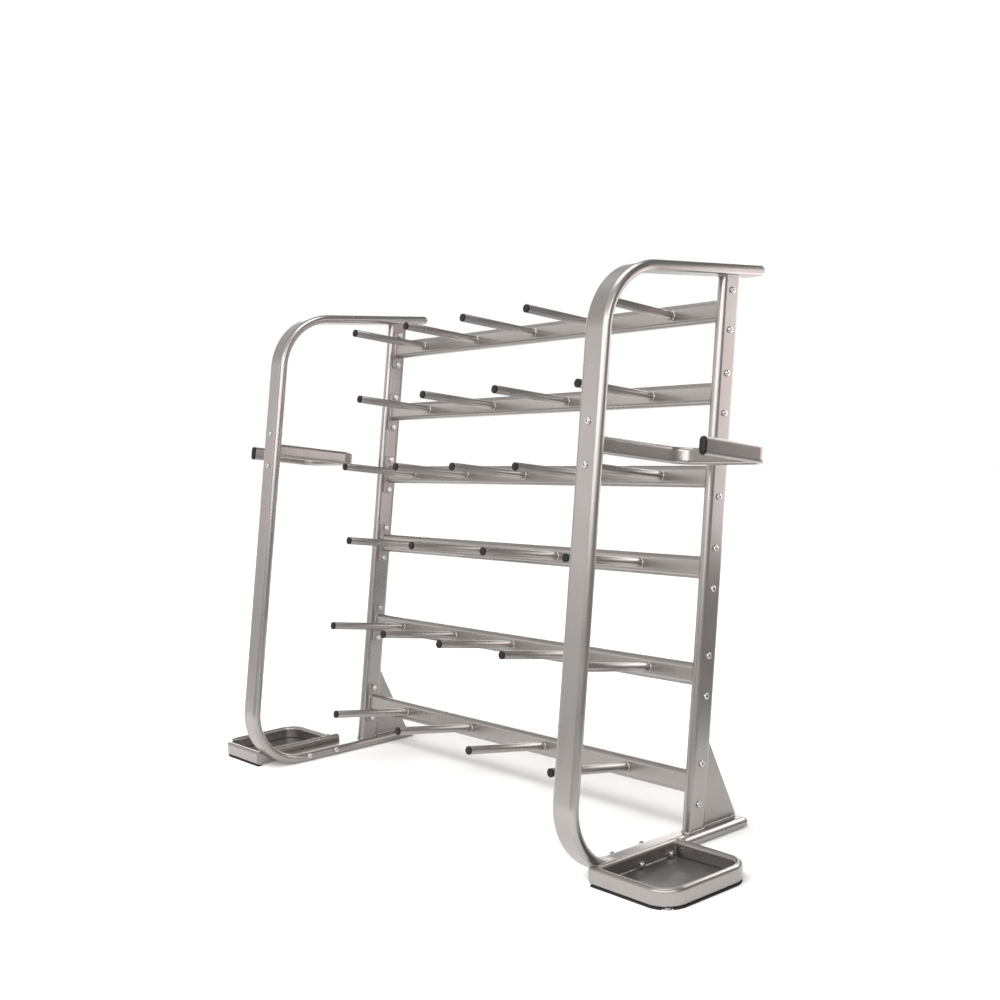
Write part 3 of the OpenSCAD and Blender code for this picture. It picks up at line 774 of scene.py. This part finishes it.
# painted light: the floor sheet glows, from none near the rack up to even white further away, as a sweep lit from
# behind
around = nt.nodes.new("ShaderNodeMapping")
around.vector_type = "POINT"
around.inputs["Scale"].default_value = (1 / 1.8, 1 / 0.85, 1.0)
nt.links.new(nt.nodes.new("ShaderNodeTexCoord").outputs["Object"], around.inputs["Vector"])
reach = nt.nodes.new("ShaderNodeVectorMath")
reach.operation = "LENGTH"
nt.links.new(around.outputs[0], reach.inputs[0])
b.inputs["Emission Color"].default_value = (1, 1, 1, 1)
nt.links.new(map_range(nt, reach.outputs["Value"], 0.0, 0.55, 0.25, 1.25), b.inputs["Emission Strength"])
floor_mesh.materials.append(fm)


def softbox(name, place, target, size, size_y, radiance, colour=(1, 1, 1), lights="all"):
    """Rectangular light in the studio, unseen by the camera.

    It lights everything, or with lights="metal" only what reflects it, or with lights="floor" only dull surfaces.
    """
    light = bpy.data.lights.new(name, "AREA")
    light.shape, light.size, light.size_y = "RECTANGLE", size, size_y
    light.energy, light.color = radiance * math.pi * size * size_y, colour
    ob = bpy.data.objects.new(name, light)
    bpy.context.scene.collection.objects.link(ob)
    ob.location = place
    ob.rotation_euler = (Vector(target) - Vector(place)).to_track_quat("-Z", "Y").to_euler()
    ob.visible_camera = False
    ob.visible_diffuse = lights != "metal"
    ob.visible_glossy = lights != "floor"
    return ob


class Studio:
    """The room as soft bands of light by compass bearing and height; bearing 0 is the front, 90 the right."""

    def __init__(self, base):
        world = bpy.data.worlds.new("studio")
        bpy.context.scene.world = world
        world.use_nodes = True
        self.nt = world.node_tree
        self.nt.nodes.clear()
        self.dir = self.nt.nodes.new("ShaderNodeTexCoord").outputs["Generated"]
        sep = self.nt.nodes.new("ShaderNodeSeparateXYZ")
        self.nt.links.new(self.dir, sep.inputs[0])
        self.height = sep.outputs[2]
        flat = self.nt.nodes.new("ShaderNodeCombineXYZ")
        self.nt.links.new(sep.outputs[0], flat.inputs[0])
        self.nt.links.new(sep.outputs[1], flat.inputs[1])
        norm = self.vector("NORMALIZE", flat.outputs[0])
        self.flat = norm.outputs[0]
        rgb = self.nt.nodes.new("ShaderNodeRGB")
        rgb.outputs[0].default_value = (*base, 1)
        self.sum = rgb.outputs[0]

    def vector(self, op, a, b=None):
        n = self.nt.nodes.new("ShaderNodeVectorMath")
        n.operation = op
        self.nt.links.new(a, n.inputs[0])
        if b is not None:
            n.inputs[1].default_value = b
        return n

    def step(self, value, lo, hi):
        """0 at lo, 1 at hi, smooth between; hi may be below lo."""
        n = self.nt.nodes.new("ShaderNodeMapRange")
        n.interpolation_type = "SMOOTHSTEP"
        a, b = (0.0, 1.0) if lo < hi else (1.0, 0.0)
        for key, v in (("From Min", min(lo, hi)), ("From Max", max(lo, hi)), ("To Min", a), ("To Max", b)):
            n.inputs[key].default_value = v
        self.nt.links.new(value, n.inputs["Value"])
        return n.outputs["Result"]

    def times(self, a, b):
        n = self.nt.nodes.new("ShaderNodeMath")
        n.operation = "MULTIPLY"
        self.nt.links.new(a, n.inputs[0])
        self.nt.links.new(b, n.inputs[1])
        return n.outputs[0]

    def band(self, bearing, half, soft, rise, fall, light):
        """Adds light, an (r, g, b), around a bearing, between the heights rise = (lo, hi) and fall = (lo, hi)."""
        c = math.radians(bearing)
        side = self.vector("DOT_PRODUCT", self.flat, (math.sin(c), -math.cos(c), 0)).outputs["Value"]
        edge = [math.cos(math.radians(min(180, max(0, half + s)))) for s in (soft, -soft)]
        f = self.step(side, *edge)
        f = self.times(f, self.step(self.height, *(math.sin(math.radians(v)) for v in rise)))
        f = self.times(f, self.step(self.height, *(math.sin(math.radians(v)) for v in reversed(fall))))
        scaled = self.nt.nodes.new("ShaderNodeVectorMath")
        scaled.operation = "SCALE"
        scaled.inputs[0].default_value = light
        self.nt.links.new(f, scaled.inputs["Scale"])
        add = self.vector("ADD", self.sum)
        self.nt.links.new(scaled.outputs[0], add.inputs[1])
        self.sum = add.outputs[0]

    def finish(self):
        """Shows plain white behind the object."""
        room, white = (self.nt.nodes.new("ShaderNodeBackground") for _ in range(2))
        self.nt.links.new(self.sum, room.inputs["Color"])
        white.inputs["Color"].default_value = (1, 1, 1, 1)
        path = self.nt.nodes.new("ShaderNodeLightPath")
        mix = self.nt.nodes.new("ShaderNodeMixShader")
        self.nt.links.new(path.outputs["Is Camera Ray"], mix.inputs[0])
        self.nt.links.new(room.outputs[0], mix.inputs[1])
        self.nt.links.new(white.outputs[0], mix.inputs[2])
        out = self.nt.nodes.new("ShaderNodeOutputWorld")
        self.nt.links.new(mix.outputs[0], out.inputs[0])


room = Studio((0.42, 0.41, 0.405))
# bearing, half width and soft edge, all in degrees; the heights it rises and falls between; its light
room.band(30, 62, 16, (-2, 14), (60, 80), (0.55, 0.55, 0.54))      # glow round the key softboxes
room.band(-46, 13, 9, (1, 7), (13, 21), (1.0, 0.98, 0.96))         # narrow strip, front left
room.band(-65, 45, 16, (-12, -2), (55, 75), (0.36, 0.35, 0.34))    # wall, left
room.band(-118, 26, 14, (-10, -2), (14, 26), (1.0, 1.0, 0.99))     # white wall, rear left
room.band(-128, 16, 8, (7, 10), (18, 24), (2.0, 2.0, 1.95))        # lamp on that wall
room.band(176, 24, 12, (-10, -2), (3, 12), (0.45, 0.41, 0.41))     # white wall, rear
room.band(150, 60, 14, (10, 22), (62, 80), (-0.14, -0.145, -0.15)) # dark ceiling behind
room.finish()
softbox("key_front_softbox", (2.1, -3.3, 2.55), (2.1, 0.0, 2.55), 4.2, 2.2, 3.0)
softbox("key_side_softbox", (4.3, -1.8, 3.0), (0.0, -1.8, 3.0), 2.9, 2.2, 2.8)
softbox("overhead_softbox", (0.3, 0.1, 3.5), (0.3, 0.1, 0.0), 2.0, 1.6, 3.6, lights="metal")
softbox("rear_softbox", (0.3, 2.95, 2.6), (0.3, 2.95, 0.0), 3.8, 1.1, 3.2, lights="metal")
softbox("floor_softbox", (0.2, -2.0, 3.5), (0.0, 0.17, 0.0), 4.6, 1.3, 6.3, lights="floor")
softbox("rear_card", (1.10, 1.12, 1.13), (1.10, 0.0, 1.13), 1.16, 1.05, 2.0, (1.0, 0.93, 0.925), lights="metal")

LENS_MM, SENSOR_MM = 46.28, 36.0
CAMERA_AT = Vector((2.9889, Y0 - 2.4620, ROW_H + 0.9755))
LOOK = Vector((-0.76884, 0.63614, -0.06485)).normalized()
RIGHT = Vector((0.63915, 0.76759, -0.04792))
RIGHT = (RIGHT - LOOK * RIGHT.dot(LOOK)).normalized()
UP = RIGHT.cross(LOOK)
cam_data = bpy.data.cameras.new("camera")
cam_data.sensor_width = SENSOR_MM
cam_data.lens = LENS_MM
cam_data.clip_end = 100.0
cam = bpy.data.objects.new("camera", cam_data)
bpy.context.scene.collection.objects.link(cam)
m = Matrix((RIGHT, UP, -LOOK)).transposed().to_4x4()
m.translation = CAMERA_AT
cam.matrix_world = m
bpy.context.scene.camera = cam
bpy.context.scene.view_settings.view_transform = "Standard"
